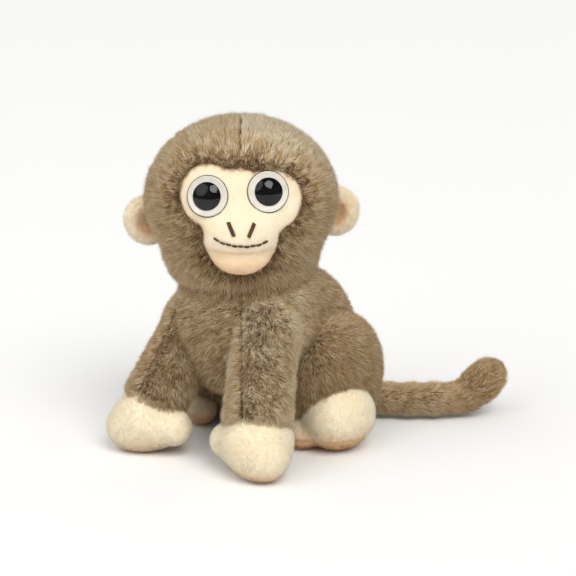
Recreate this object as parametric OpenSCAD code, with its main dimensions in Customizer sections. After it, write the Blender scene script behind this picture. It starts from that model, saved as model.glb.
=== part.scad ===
// Plush monkey that sits on its rump with both hands on the ground between its feet.
// The body faces -Y, its left side is +X, and the ground is z = 0.
// The origin is the middle of the flat seat under the trunk.
// The head is turned to its left, and the tail curls out past the left haunch.

/* [Cloth] */
// Thickness of the plush panels, backing and pile together
skin = 4; // [3:0.5:5]
// Free gap between two parts that move against each other
gap = 0.5; // [0.4:0.1:0.8]

/* [Head] */
// Width of the head over the pile
head_w = 109; // [104:1:114]
// Height and depth of the head over the pile
head_h = 95; // [92:1:98]
// Height of the head's centre above the ground
head_z = 144.5; // [143:0.5:148]
// Turn of the head to its own left at rest
head_yaw = 35; // [35:1:37]
// Width of the muzzle
muzzle_w = 44; // [40:1:48]
// Diameter of the round pieces of the face around each eye
brow_d = 36; // [32:1:40]

/* [Eyes] */
// Diameter of the clear dome
eye_d = 24; // [20:1:24]
// Height of the clear dome
eye_h = 7; // [5:0.5:8]
// Diameter of the black pupil
pupil_d = 16; // [13:0.5:17]
// Distance between the centres of the eyes
eye_gap = 31.5; // [29:0.5:34]
// How much higher the left eye is sewn than the right one
eye_skew = 2.6; // [0:0.2:3]

/* [Ears] */
// Diameter of the ear
ear_d = 28; // [25:1:30]
// Thickness of the ear
ear_t = 8; // [6:0.5:10]
// How much higher the left ear is sewn than the right one
ear_skew = 5; // [0:0.5:5]

/* [Trunk] */
// Length of the trunk along its slope
trunk_l = 123; // [116:1:126]
// Width of the trunk
trunk_w = 84; // [78:1:88]
// Slope of the trunk from upright
trunk_lean = 48; // [45:1:50]
// Half width of the trunk between the legs
side_x = 19; // [17:0.5:21]
// Half width of the chest between the arms
chest_x = 14; // [13:0.5:16]

/* [Arms] */
// Thickness of an arm
arm_d = 44; // [40:1:46]
// Length of a sleeve from the shoulder's pivot to the cuff
sleeve_l = 48; // [44:1:50]
// Forward slope of an arm from upright
arm_lean = 28; // [24:1:30]
// Outward slope of an arm
arm_splay = 11; // [8:1:13]
// Width of a hand
hand_w = 40; // [38:1:43]
// Height of a hand
hand_h = 36; // [32:1:38]

/* [Legs] */
// Diameter of a haunch seen from the side
haunch_d = 72; // [66:1:73]
// Distance from the trunk's flat side to the outside of a haunch
haunch_t = 46; // [42:1:48]
// Length of a foot
foot_w = 48; // [44:1:50]
// Height of a foot
foot_h = 38; // [34:1:39]

/* [Tail] */
// Thickness of the tail
tail_d = 22; // [20:1:24]
// Radius of the tail's curve on the ground
tail_r = 110; // [105:1:115]
// Angle of that curve
tail_sweep = 43; // [40:1:46]
// Upward bend of the tip
tip_bend = 48; // [40:1:56]

/* [Hidden] */
$fn = 100;

fur = [0.50, 0.42, 0.34];
fur_light = [0.56, 0.48, 0.39];
cream = [0.97, 0.87, 0.74];
peach = [0.95, 0.72, 0.55];
thread = [0.20, 0.12, 0.09];
fibre = [0.96, 0.96, 0.94];

far = 400;
// Slack between the trunk's stuffing and its cloth
fill_play = 0.1;

// Places of the trunk, the neck and the head
seat_z = 41;
trunk_half = (trunk_l - trunk_w) / 2;
trunk_c = [0, -trunk_half * sin(trunk_lean), seat_z + trunk_half * cos(trunk_lean)];
neck_c = [0, -38.5, 100];
neck_r = 16;
head_c = [neck_c[0], neck_c[1], head_z];
// Ball of free room over the shoulders, which the head's underside sweeps as it nods
nod_room_z = head_z + 9;
nod_room_r = head_h / 2 + 13.5;
belly_y = -32;
belly_x = chest_x - skin - 1;

// Face, in the head's own frame
brow_x = 16;
brow_z = 6.5;
mask_z = 1.5;
mask_d = brow_d + 4;
muzzle_c = [0, -30, -12];
jaw_z = -12;
jaw_d = muzzle_w + 3;
chin_z = -19;
face_back = 25;
eye_z = 9.5;
eye_y = -41.5;
eye_toe = 14;
eye_lift = 14;

// Arms
shoulder = [26, -52, 74];
hand_c = [38, -81, hand_h / 2 - 0.5];
thumb_c = [14, -80.5, 15];
thumb_r = 8.5;
arm_back_swing = 2;
palm_z = 14;
wrist_r = 12;
wrist_l = 8;

// Legs
hip = [side_x, -4.5, haunch_d / 2];
foot_c = [51, -16.5, foot_h / 2 - 0.5];
sole_z = 9;
ankle_r = 11;
ankle_l = 20;
ankle_slope = 70;

// Tail
root_swell = 0.8;
tail_root = [8, 35.5, tail_d / 2 + root_swell];
tail_start = 2;
tail_setback = 3;
elbow_r = 24;
tip_l = 4;
tip_swell = 1.5;

// Round-ended bar along Z, centred, with its ends included in its length
module capsule(r, l) {
    straight = l - 2 * r;
    rotate_extrude()
        union() {
            translate([0, -straight / 2])
                square([r, straight]);
            for (end = [-1, 1])
                intersection() {
                    translate([0, end * straight / 2])
                        circle(r = r);
                    translate([0, -l])
                        square([r, 2 * l]);
                }
        }
}

// Flat disc about Z with a half-round edge, centred
module round_disc(r, t) {
    rotate_extrude()
        union() {
            translate([0, -t / 2])
                square([r - t / 2, t]);
            translate([r - t / 2, 0])
                circle(r = t / 2);
        }
}

// Carries a shape to the right side of the body
module on_side(side) {
    if (side < 0)
        mirror([1, 0, 0])
            children();
    else
        children();
}

// Extrudes a side view, drawn as (y, z), from one x to another
module side_prism(x0, x1) {
    translate([x0, 0, 0])
        rotate([90, 0, 90])
            linear_extrude(x1 - x0)
                children();
}

// Half of space beyond a plane across X
module beyond_x(x) {
    translate([x, -far / 2, -far / 2])
        cube([far, far, far]);
}

// Space below a level
module below_z(z) {
    translate([-far / 2, -far / 2, z - far])
        cube([far, far, far]);
}

// ---- Trunk ----

// Side view of the room that an arm needs to swing
module arm_room(grow) {
    r = arm_d / 2 + gap + grow;
    translate([shoulder[1], shoulder[2]])
        circle(r = r);
    translate([shoulder[1], shoulder[2]])
        rotate(arm_back_swing - arm_lean)
            translate([-far, -far])
                square([far + r, far]);
}

// Side view of the room that a leg needs to swing
module leg_room(grow) {
    r = haunch_d / 2 + gap + grow;
    translate([hip[1], hip[2]])
        circle(r = r);
    translate([hip[1] - far, -far])
        square([far, far + hip[2]]);
    translate([hip[1] - r, -far])
        square([2 * r, far + hip[2]]);
}

// The trunk, with its sides cut flat where the limbs lie against it
module trunk_form(inset) {
    difference() {
        translate(trunk_c)
            rotate([trunk_lean, 0, 0])
                capsule(trunk_w / 2 - inset, trunk_l - 2 * inset);
        below_z(inset);
        translate([neck_c[0], neck_c[1], nod_room_z])
            rotate([0, -90, 0])
                sphere(r = nod_room_r + inset);
        translate(neck_c)
            rotate([0, -90, 0])
                sphere(r = neck_r + gap + inset);
        for (side = [1, -1])
            on_side(side) {
                side_prism(chest_x - inset, far)
                    arm_room(inset);
                side_prism(side_x - inset, far)
                    leg_room(inset);
            }
        tail_room(inset);
    }
}

// Room for the tail's root to swing
module tail_room(inset) {
    r = tail_d / 2 + root_swell + gap + inset;
    translate(tail_root)
        sphere(r = r);
    translate([tail_root[0], tail_root[1] - r, -1])
        cube([far, far, tail_root[2] + tail_d / 2 + gap + inset + 1]);
}

module trunk_skin() {
    difference() {
        trunk_form(0);
        trunk_form(skin);
    }
}

module trunk_stuffing() {
    color(fibre)
        trunk_form(skin + fill_play);
}

// The belly's panel between the arms and the feet
module belly_room() {
    translate([-belly_x, -far, skin])
        cube([2 * belly_x, far + belly_y, far]);
}

module trunk_panel(side) {
    color(side > 0 ? fur_light : fur)
        intersection() {
            difference() {
                trunk_skin();
                belly_room();
                below_z(skin);
            }
            on_side(side)
                beyond_x(0);
        }
}

module belly_panel() {
    color(fur)
        intersection() {
            trunk_skin();
            belly_room();
        }
}

module seat_panel() {
    color(fur)
        intersection() {
            trunk_skin();
            below_z(skin);
        }
}

// ---- Neck ----

module neck_band() {
    color(fur)
        translate(neck_c)
            intersection() {
                difference() {
                    sphere(r = neck_r);
                    sphere(r = neck_r - skin);
                }
                translate([0, 0, -neck_r / 2])
                    cylinder(r = neck_r + 1, h = neck_r);
            }
}

module neck_stuffing() {
    color(fibre)
        translate(neck_c)
            union() {
                sphere(r = neck_r - skin);
                difference() {
                    sphere(r = neck_r);
                    translate([0, 0, -neck_r / 2])
                        cylinder(r = neck_r + 1, h = neck_r);
                }
            }
}

// ---- Head ----

// Places a shape that is drawn about the head's centre with the face to -Y
module in_head() {
    translate(neck_c)
        rotate([0, 0, head_yaw])
            translate(head_c - neck_c)
                children();
}

// Outline of the mask-shaped face, drawn as (x, z)
module face_outline() {
    for (side = [1, -1])
        translate([side * brow_x, brow_z])
            circle(d = brow_d);
    translate([0, mask_z])
        circle(d = mask_d);
    translate([0, jaw_z])
        circle(d = jaw_d);
}

// Everything in front of the skull that lies within the face's outline
module face_room() {
    translate([0, -face_back, 0])
        rotate([90, 0, 0])
            linear_extrude(far)
                face_outline();
}

module head_form(inset) {
    difference() {
        union() {
            rotate([0, 90, 0])
                capsule(head_h / 2 - inset, head_w - 2 * inset);
            translate(muzzle_c)
                sphere(r = muzzle_w / 2 - inset);
        }
        translate(neck_c - head_c)
            sphere(r = neck_r + gap + inset);
        for (side = [1, -1])
            ear_room(side, inset);
    }
}

module head_skin() {
    difference() {
        head_form(0);
        head_form(skin);
        for (side = [1, -1])
            at_eye(side)
                eye_hole();
    }
}

module head_panel(side) {
    color(side > 0 ? fur_light : fur)
        in_head()
            intersection() {
                difference() {
                    head_skin();
                    face_room();
                }
                on_side(side)
                    beyond_x(0);
            }
}

module face_panel() {
    color(cream)
        in_head()
            intersection() {
                head_skin();
                difference() {
                    face_room();
                    below_z(chin_z);
                }
            }
}

module chin_panel() {
    color(cream)
        in_head()
            intersection() {
                head_skin();
                face_room();
                below_z(chin_z);
            }
}

module head_stuffing() {
    color(fibre)
        in_head()
            difference() {
                head_form(skin);
                for (side = [1, -1])
                    at_eye(side)
                        eye_hole();
            }
}

// Satin-stitched nostril, a rounded bar on the front of the muzzle
module nostril(side) {
    color(thread)
        in_head()
            on_side(side)
                translate(on_muzzle(nostril_x, nostril_z))
                    rotate([-nostril_slope, nostril_slant, 0])
                        capsule(nostril_r, nostril_l);
}
nostril_x = 5.4;
nostril_z = -5.5;
nostril_slope = 18;
nostril_slant = 22;
nostril_l = 8;
nostril_r = 1;

// Back-stitched mouth: a row of short stitches that lies on the muzzle
module mouth_stitches() {
    pitch = mouth_w / stitch_n;
    color(thread)
        in_head()
            for (i = [0:stitch_n - 1]) {
                x = (i + 0.5) * pitch - mouth_w / 2;
                translate(on_muzzle(x, mouth_height(x)))
                    rotate([0, -mouth_slope(x), asin(x / (muzzle_w / 2))])
                        rotate([0, 90, 0])
                            capsule(thread_r, pitch * stitch_fill);
            }
}

// A point on the front of the muzzle, given its place in the front view
function on_muzzle(x, z) = [
    x,
    muzzle_c[1] - sqrt(pow(muzzle_w / 2, 2) - x * x - pow(z - muzzle_c[2], 2)),
    z
];

// Height of the smile at x, and how steeply it rises there
function mouth_height(x) = mouth_z + smile * pow(2 * x / mouth_w, 2);
function mouth_slope(x) = atan(8 * smile * x / (mouth_w * mouth_w));

mouth_w = 28;
mouth_z = -15.5;
smile = 3.2;
stitch_n = 7;
stitch_fill = 0.96;
thread_r = 0.8;

// ---- Eyes ----

// Places a shape that is drawn with its axis along +Z on an eye's seat
module at_eye(side) {
    on_side(side)
        translate([eye_gap / 2, eye_y, eye_z + side * eye_skew / 2])
            rotate([90 - eye_lift, 0, eye_toe])
                children();
}

eye_ball_r = (pow(eye_d / 2, 2) + pow(eye_h, 2)) / (2 * eye_h);
disc_d = eye_d - 1.6;
disc_t = 0.8;
eye_rim = 1.2;
post_d = 6;
post_l = 16;
washer_d = 22;
washer_t = 1.6;
washer_z = -8;

// The hollow that the eye's own pieces fill in the head
module eye_hole() {
    translate([0, 0, -eye_rim])
        cylinder(d = eye_d, h = far);
    translate([0, 0, -post_l])
        cylinder(d = post_d, h = post_l);
    translate([0, 0, washer_z])
        cylinder(d = washer_d, h = washer_t);
}

// Clear dome: a rim and a cap, hollow behind for the disc and the pupil
module eye_dome() {
    difference() {
        union() {
            translate([0, 0, -eye_rim])
                cylinder(d = eye_d, h = eye_rim);
            intersection() {
                translate([0, 0, eye_h - eye_ball_r])
                    sphere(r = eye_ball_r);
                cylinder(d = eye_d, h = eye_h);
            }
        }
        translate([0, 0, -eye_rim])
            cylinder(d = disc_d, h = disc_t);
        translate([0, 0, -eye_rim])
            cylinder(d = pupil_d, h = disc_t * 2);
    }
}

module eye_disc() {
    translate([0, 0, -eye_rim])
        difference() {
            cylinder(d = disc_d, h = disc_t);
            cylinder(d = post_d / 2, h = far, center = true);
        }
}

module eye_pupil() {
    translate([0, 0, disc_t - eye_rim])
        cylinder(d = pupil_d, h = disc_t);
}

module eye_post() {
    translate([0, 0, -post_l])
        cylinder(d = post_d, h = post_l - eye_rim);
    translate([0, 0, -eye_rim])
        cylinder(d = post_d / 2, h = disc_t);
}

module eye_washer() {
    translate([0, 0, washer_z])
        difference() {
            cylinder(d = washer_d, h = washer_t);
            cylinder(d = post_d, h = far, center = true);
        }
}

module eye_piece(name, side) {
    in_head()
        at_eye(side) {
            if (name == "dome")
                color([0.9, 0.95, 1, 0.4])
                    eye_dome();
            if (name == "disc")
                color("silver")
                    eye_disc();
            if (name == "pupil")
                color("black")
                    eye_pupil();
            if (name == "post")
                color("black")
                    eye_post();
            if (name == "washer")
                color("white")
                    eye_washer();
        }
}

// ---- Ears ----

ear_hinge = [head_w / 2 - 8.5, 12, -13];
ear_root_r = 4.2;
ear_root_l = 20;
ear_swing = 22;
ear_fan = 40;
ear_reach = 8;
ear_back_lean = 8;

// Places a shape that is drawn with its hinge on the Z axis and its blade along +X
module at_ear(side) {
    on_side(side)
        translate(ear_hinge + [0, 0, side * ear_skew / 2])
            rotate([0, 0, ear_back_lean])
                children();
}

// The ear: a flat round blade on a rounded root
module ear_form() {
    intersection() {
        translate([ear_reach, 0, 0])
            rotate([90, 0, 0])
                round_disc(ear_d / 2, ear_t);
        beyond_x(0);
    }
    cylinder(r = ear_root_r, h = ear_root_l, center = true);
}

// The groove and the fan-shaped room that an ear needs to fold
module ear_room(side, inset) {
    half_t = ear_t / 2 + gap + inset;
    half_h = ear_d / 2 + gap + inset;
    at_ear(side)
        translate([0, 0, -half_h])
            linear_extrude(2 * half_h)
                union() {
                    circle(r = ear_root_r + gap + inset);
                    polygon([
                        [0, -half_t],
                        [ear_fan, -half_t - ear_fan * tan(ear_swing)],
                        [ear_fan, half_t + ear_fan * tan(ear_swing)],
                        [0, half_t]
                    ]);
                }
}

module ear_half(front, side) {
    color(front > 0 ? peach : cream)
        in_head()
            at_ear(side)
                intersection() {
                    ear_form();
                    translate([-far / 2, front > 0 ? -far : 0, -far / 2])
                        cube([far, far, far]);
                }
}

// ---- Arms ----

module along_arm() {
    translate(shoulder)
        rotate([-arm_lean, 0, 0])
            rotate([0, -arm_splay, 0])
                children();
}

// Sleeve: a round shoulder and a straight arm, flat against the trunk
module sleeve_form(inset) {
    r = arm_d / 2 - inset;
    intersection() {
        along_arm()
            rotate_extrude()
                union() {
                    translate([0, -sleeve_l + inset])
                        square([r, sleeve_l - inset]);
                    intersection() {
                        circle(r = r);
                        square([r, r]);
                    }
                }
        beyond_x(chest_x + gap + inset);
    }
}

module hand_form(inset) {
    difference() {
        union() {
            translate(hand_c)
                rotate([0, 90, 0])
                    capsule(hand_h / 2 - inset, hand_w - 2 * inset);
            translate(thumb_c)
                rotate([0, 90, 0])
                    cylinder(r = thumb_r - inset / 2, h = hand_c[0] - thumb_c[0]);
            translate(thumb_c)
                sphere(r = thumb_r - inset / 2);
        }
        below_z(inset);
    }
}

// The opening in the cuff through which the filling runs into the hand
module wrist() {
    along_arm()
        translate([0, 0, -sleeve_l - wrist_l])
            cylinder(r = wrist_r, h = wrist_l + 2 * skin);
}

module sleeve_half(outer, side) {
    color(side > 0 ? fur_light : fur)
        on_side(side)
            intersection() {
                difference() {
                    sleeve_form(0);
                    sleeve_form(skin);
                    hand_form(0);
                    wrist();
                }
                translate([outer > 0 ? shoulder[0] : shoulder[0] - far, -far / 2, -far / 2])
                    cube([far, far, far]);
            }
}

module hand_skin() {
    difference() {
        hand_form(0);
        hand_form(skin);
        wrist();
    }
}

module hand_top(side) {
    color(cream)
        on_side(side)
            difference() {
                hand_skin();
                below_z(palm_z);
            }
}

module palm(side) {
    color(peach)
        on_side(side)
            intersection() {
                hand_skin();
                below_z(palm_z);
            }
}

module arm_stuffing(side) {
    color(fibre)
        on_side(side)
            union() {
                difference() {
                    sleeve_form(skin);
                    hand_form(0);
                }
                hand_form(skin);
                intersection() {
                    wrist();
                    union() {
                        sleeve_form(0);
                        hand_form(0);
                    }
                }
            }
}

// ---- Legs ----

// Haunch: a dome about the hip's own axis, flat against the trunk
module haunch_form(inset) {
    r = haunch_d / 2 - inset;
    flat = haunch_t - gap - 2 * inset - r;
    translate([side_x + gap + inset, hip[1], hip[2]])
        rotate([0, 90, 0])
            rotate_extrude()
                union() {
                    square([r, flat]);
                    translate([0, flat])
                        intersection() {
                            circle(r = r);
                            square([r, r]);
                        }
                }
}

module foot_form(inset) {
    difference() {
        translate(foot_c)
            rotate([90, 0, 0])
                capsule(foot_h / 2 - inset, foot_w - 2 * inset);
        below_z(inset);
        beyond_inner_side(inset);
    }
}

// Space on the trunk's side of a limb
module beyond_inner_side(inset) {
    translate([side_x + gap + inset - far, -far / 2, -far / 2])
        cube([far, far, far]);
}

// The opening through which the filling runs into the foot
module ankle() {
    translate([foot_c[0] - ankle_r / 2, foot_c[1], foot_c[2] + 2])
        rotate([-ankle_slope, 0, 0])
            cylinder(r = ankle_r, h = ankle_l);
}

module haunch_panel(side) {
    color(side > 0 ? fur_light : fur)
        on_side(side)
            difference() {
                haunch_form(0);
                haunch_form(skin);
                foot_form(0);
                ankle();
            }
}

module foot_skin() {
    difference() {
        foot_form(0);
        foot_form(skin);
        ankle();
    }
}

module foot_top(side) {
    color(cream)
        on_side(side)
            difference() {
                foot_skin();
                below_z(sole_z);
            }
}

module foot_sole(side) {
    color(peach)
        on_side(side)
            intersection() {
                foot_skin();
                below_z(sole_z);
            }
}

module leg_stuffing(side) {
    color(fibre)
        on_side(side)
            union() {
                difference() {
                    haunch_form(skin);
                    foot_form(0);
                }
                foot_form(skin);
                intersection() {
                    ankle();
                    union() {
                        haunch_form(0);
                        foot_form(0);
                    }
                }
            }
}

// ---- Tail ----

// Where the tip begins, and which way the tail runs there
tail_end_turn = tail_start + tail_sweep;
tip_c = [
    tail_root[0] + tail_r * (sin(tail_end_turn) - sin(tail_start)),
    tail_root[1] + tail_r * (cos(tail_start) - cos(tail_end_turn)),
    tail_root[2]
];

// Curved tube along the ground from the root to just short of the tip's pivot
module tail_form(inset) {
    r = tail_d / 2 - inset;
    translate([
        tail_root[0] - tail_r * sin(tail_start),
        tail_root[1] + tail_r * cos(tail_start),
        tail_root[2]
    ])
        rotate([0, 0, tail_start - 90])
            rotate_extrude(angle = tail_sweep - tail_setback)
                translate([tail_r, 0])
                    circle(r = r);
    translate(tail_root)
        rotate([0, 90, tail_start])
            sphere(r = r + root_swell);
}

module tail_cut(inset) {
    difference() {
        tail_form(inset);
        translate(tip_c)
            rotate([0, 90, tail_end_turn])
                sphere(r = tail_d / 2 + gap);
    }
}

module tail_sleeve() {
    color(fur)
        difference() {
            tail_cut(0);
            tail_cut(skin);
        }
}

module tail_stuffing() {
    color(fibre)
        tail_cut(skin);
}

// Tip: a ball at the pivot, an upward elbow and a full round end
module tip_form(inset) {
    r = tail_d / 2 - inset;
    translate(tip_c)
        rotate([0, 0, tail_end_turn])
            union() {
                sphere(r = r);
                translate([0, 0, elbow_r])
                    rotate([90, 0, 0])
                        rotate([0, 0, -90])
                            rotate_extrude(angle = tip_bend)
                                translate([elbow_r, 0])
                                    circle(r = r);
                translate([elbow_r * sin(tip_bend), 0, elbow_r * (1 - cos(tip_bend))])
                    rotate([0, 90 - tip_bend, 0]) {
                        cylinder(r = r, h = tip_l);
                        translate([0, 0, tip_l])
                            sphere(r = r + tip_swell);
                    }
            }
}

module tail_tip_sleeve() {
    color(fur)
        difference() {
            tip_form(0);
            tip_form(skin);
        }
}

module tail_tip_stuffing() {
    color(fibre)
        tip_form(skin);
}

trunk_panel(1);  // trunk_panel_left
trunk_panel(-1);  // trunk_panel_right
belly_panel();
seat_panel();
trunk_stuffing();
neck_band();
neck_stuffing();
head_panel(1);  // head_panel_left
head_panel(-1);  // head_panel_right
face_panel();
chin_panel();
head_stuffing();
nostril(1);  // nostril_left
nostril(-1);  // nostril_right
mouth_stitches();
eye_piece("dome", 1);  // eye_dome_left
eye_piece("disc", 1);  // eye_disc_left
eye_piece("pupil", 1);  // eye_pupil_left
eye_piece("post", 1);  // eye_post_left
eye_piece("washer", 1);  // eye_washer_left
eye_piece("dome", -1);  // eye_dome_right
eye_piece("disc", -1);  // eye_disc_right
eye_piece("pupil", -1);  // eye_pupil_right
eye_piece("post", -1);  // eye_post_right
eye_piece("washer", -1);  // eye_washer_right
ear_half(1, 1);  // ear_front_left
ear_half(-1, 1);  // ear_back_left
ear_half(1, -1);  // ear_front_right
ear_half(-1, -1);  // ear_back_right
sleeve_half(1, 1);  // sleeve_outer_left
sleeve_half(-1, 1);  // sleeve_inner_left
hand_top(1);  // hand_top_left
palm(1);  // palm_left
arm_stuffing(1);  // arm_stuffing_left
sleeve_half(1, -1);  // sleeve_outer_right
sleeve_half(-1, -1);  // sleeve_inner_right
hand_top(-1);  // hand_top_right
palm(-1);  // palm_right
arm_stuffing(-1);  // arm_stuffing_right
haunch_panel(1);  // haunch_panel_left
foot_top(1);  // foot_top_left
foot_sole(1);  // foot_sole_left
leg_stuffing(1);  // leg_stuffing_left
haunch_panel(-1);  // haunch_panel_right
foot_top(-1);  // foot_top_right
foot_sole(-1);  // foot_sole_right
leg_stuffing(-1);  // leg_stuffing_right
tail_sleeve();
tail_stuffing();
tail_tip_sleeve();
tail_tip_stuffing();
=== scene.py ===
import math

import bmesh
import bpy
import numpy as np
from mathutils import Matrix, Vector


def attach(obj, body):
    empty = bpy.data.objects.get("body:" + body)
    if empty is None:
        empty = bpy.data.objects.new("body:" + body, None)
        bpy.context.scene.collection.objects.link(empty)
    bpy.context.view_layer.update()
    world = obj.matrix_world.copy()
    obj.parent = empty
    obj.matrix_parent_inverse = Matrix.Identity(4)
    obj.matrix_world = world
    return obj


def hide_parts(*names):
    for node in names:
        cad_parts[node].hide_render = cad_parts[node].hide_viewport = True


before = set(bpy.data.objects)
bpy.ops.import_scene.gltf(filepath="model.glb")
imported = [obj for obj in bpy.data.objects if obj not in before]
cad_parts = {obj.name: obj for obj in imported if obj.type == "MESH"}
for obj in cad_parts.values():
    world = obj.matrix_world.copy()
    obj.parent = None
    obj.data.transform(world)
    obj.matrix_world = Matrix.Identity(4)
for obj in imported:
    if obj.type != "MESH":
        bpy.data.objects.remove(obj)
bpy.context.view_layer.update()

# Everything below is in millimetres in the shared frame; MM turns it into Blender's metres
MM = 0.001
# Swollen skins and strands of pile come no lower than this
GROUND = 0.1
WHITE = (1, 1, 1, 1)
scene = bpy.context.scene

# ---------------------------------------------------------------- camera, floor and light

LOOK_AT = Vector((17.65, -17.57, 90)) * MM
CAM_AZIMUTH, CAM_ELEVATION = math.radians(34), math.radians(15)
CAM_DISTANCE = 1.0
CAM_LENS, CAM_SENSOR = 108.7, 36
CAM_CLIP = (0.05, 20)


def direction(azimuth, elevation):
    """A unit vector; azimuth turns from straight ahead of the monkey towards its left, in radians."""
    return Vector((
        math.sin(azimuth) * math.cos(elevation),
        -math.cos(azimuth) * math.cos(elevation),
        math.sin(elevation),
    ))


def make_camera():
    back = direction(CAM_AZIMUTH, CAM_ELEVATION)
    cam = bpy.data.objects.new("camera", bpy.data.cameras.new("camera"))
    scene.collection.objects.link(cam)
    cam.data.sensor_width = CAM_SENSOR
    cam.data.lens = CAM_LENS
    cam.data.clip_start, cam.data.clip_end = CAM_CLIP
    cam.location = LOOK_AT + back * CAM_DISTANCE
    cam.rotation_mode = "QUATERNION"
    cam.rotation_quaternion = (-back).to_track_quat("-Z", "Y")
    scene.camera = cam


# The floor, in metres; it lies a hair below the monkey
FLOOR_SIZE, FLOOR_Z = 12, -0.0002
# Suns: azimuth, elevation, strength, spread in degrees, colour
SUNS = {
    "key": (60, 48, 1.76, 38, (1.0, 0.985, 0.955)),
    "fill": (-22, 38, 0.66, 60, (1.0, 0.99, 0.975)),
}
# The light that the eyes reflect, in metres and watts
SOFTBOX_AT, SOFTBOX_AIM = Vector((-0.25, -0.98, 0.95)), Vector((0, 0, 0.12))
SOFTBOX_SIZE, SOFTBOX_POWER = (1.1, 1.0), 1.8
# How bright the room is as soft light, and in reflections, where a darker one keeps the eyes deep
SKY, SKY_IN_GLOSS = 0.5, 0.12


def add_lamp(name, lamp, towards):
    """Adds a lamp whose light comes from the direction towards."""
    o = bpy.data.objects.new(name, lamp)
    o.rotation_mode = "QUATERNION"
    o.rotation_quaternion = towards.to_track_quat("Z", "Y")
    scene.collection.objects.link(o)
    return o


def make_lamps():
    for name, (azimuth, elevation, strength, spread, colour) in SUNS.items():
        lamp = bpy.data.lights.new(name, "SUN")
        lamp.energy, lamp.angle, lamp.color = strength, math.radians(spread), colour
        add_lamp(name, lamp, direction(math.radians(azimuth), math.radians(elevation)))
    box = bpy.data.lights.new("softbox", "AREA")
    box.shape, box.energy = "RECTANGLE", SOFTBOX_POWER
    box.size, box.size_y = SOFTBOX_SIZE
    add_lamp("softbox", box, SOFTBOX_AT - SOFTBOX_AIM).location = SOFTBOX_AT


def make_world():
    """A white backdrop for the camera, soft light for surfaces and a darker room in reflections."""
    world = bpy.data.worlds.new("studio")
    scene.world = world
    world.use_nodes = True
    nt = world.node_tree
    sky = nt.nodes["Background"]
    sky.inputs["Color"].default_value = WHITE
    sky.inputs["Strength"].default_value = SKY
    dark = nt.nodes.new("ShaderNodeBackground")
    dark.inputs["Strength"].default_value = SKY_IN_GLOSS
    white = nt.nodes.new("ShaderNodeBackground")
    white.inputs["Color"].default_value = WHITE
    path = nt.nodes.new("ShaderNodeLightPath")
    shown = sky
    for ray, instead in (("Is Glossy Ray", dark), ("Is Camera Ray", white)):
        mix = nt.nodes.new("ShaderNodeMixShader")
        nt.links.new(path.outputs[ray], mix.inputs[0])
        nt.links.new(shown.outputs[0], mix.inputs[1])
        nt.links.new(instead.outputs[0], mix.inputs[2])
        shown = mix
    nt.links.new(shown.outputs[0], nt.nodes["World Output"].inputs["Surface"])


def make_stage():
    bpy.ops.mesh.primitive_plane_add(size=FLOOR_SIZE, location=(0, 0, FLOOR_Z))
    floor = bpy.context.object
    floor.name = "floor"
    floor.data.materials.append(plain("floor_paper", (0.95, 0.95, 0.95), 0.9))
    make_lamps()
    make_world()
    scene.view_settings.view_transform = "Standard"


# ---------------------------------------------------------------- materials


def srgb(r, g, b):
    """A colour given in 0 to 255 as seen on a screen, in Blender's linear values."""
    return tuple(
        c / 12.92 if c <= 0.04045 else ((c + 0.055) / 1.055) ** 2.4
        for c in (r / 255, g / 255, b / 255)
    )


def plain(name, colour, rough, **more):
    """A material whose values are the same all over."""
    m = bpy.data.materials.new(name)
    m.use_nodes = True
    p = m.node_tree.nodes["Principled BSDF"]
    p.inputs["Base Color"].default_value = (*colour, 1)
    p.inputs["Roughness"].default_value = rough
    for key, value in more.items():
        p.inputs[key.replace("_", " ")].default_value = value
    return m


# The fine grain of every surface: how small it is, and its height in metres
GRAIN_SCALE, GRAIN_HEIGHT = 1400, 0.0005


def cloth(name, low, high, scale, bump, rough=0.85, sheen=0.3, hollow=None):
    """A surface whose colour drifts between two shades, with a fine bump.
    Where hollow is given, the colour goes towards it as far as the mesh's attribute says, which marks
    peach cloth and painted shade."""
    m = plain(name, high, rough, Sheen_Weight=sheen, Sheen_Roughness=0.5)
    nt = m.node_tree
    p = nt.nodes["Principled BSDF"]
    where = nt.nodes.new("ShaderNodeTexCoord")
    big = nt.nodes.new("ShaderNodeTexNoise")
    big.inputs["Scale"].default_value = scale
    big.inputs["Detail"].default_value = 5
    fine = nt.nodes.new("ShaderNodeTexNoise")
    fine.inputs["Scale"].default_value = GRAIN_SCALE
    fine.inputs["Detail"].default_value = 3
    ramp = nt.nodes.new("ShaderNodeValToRGB")
    ramp.color_ramp.elements[0].position = 0.3
    ramp.color_ramp.elements[0].color = (*low, 1)
    ramp.color_ramp.elements[1].position = 0.72
    ramp.color_ramp.elements[1].color = (*high, 1)
    nt.links.new(where.outputs["Object"], big.inputs["Vector"])
    nt.links.new(where.outputs["Object"], fine.inputs["Vector"])
    nt.links.new(big.outputs["Fac"], ramp.inputs["Fac"])
    colour = ramp.outputs["Color"]
    if hollow is not None:
        mark = nt.nodes.new("ShaderNodeAttribute")
        mark.attribute_name = "peach_and_shade"
        mix = nt.nodes.new("ShaderNodeMix")
        mix.data_type = "RGBA"
        nt.links.new(mark.outputs["Fac"], mix.inputs["Factor"])
        nt.links.new(colour, mix.inputs["A"])
        mix.inputs["B"].default_value = (*hollow, 1)
        colour = mix.outputs["Result"]
    nt.links.new(colour, p.inputs["Base Color"])
    b = nt.nodes.new("ShaderNodeBump")
    b.inputs["Strength"].default_value = bump
    b.inputs["Distance"].default_value = GRAIN_HEIGHT
    nt.links.new(fine.outputs["Fac"], b.inputs["Height"])
    nt.links.new(b.outputs["Normal"], p.inputs["Normal"])
    return m


BROWN_DARK, BROWN_MID = srgb(60, 42, 26), srgb(112, 84, 54)
CREAM_LOW, CREAM_HIGH = srgb(243, 224, 190), srgb(250, 240, 215)
# The peach that cream pieces go towards: their own peach cloth, and painted shade in creases,
# hollows, round the face and underneath
PEACH = srgb(224, 172, 120)


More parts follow.
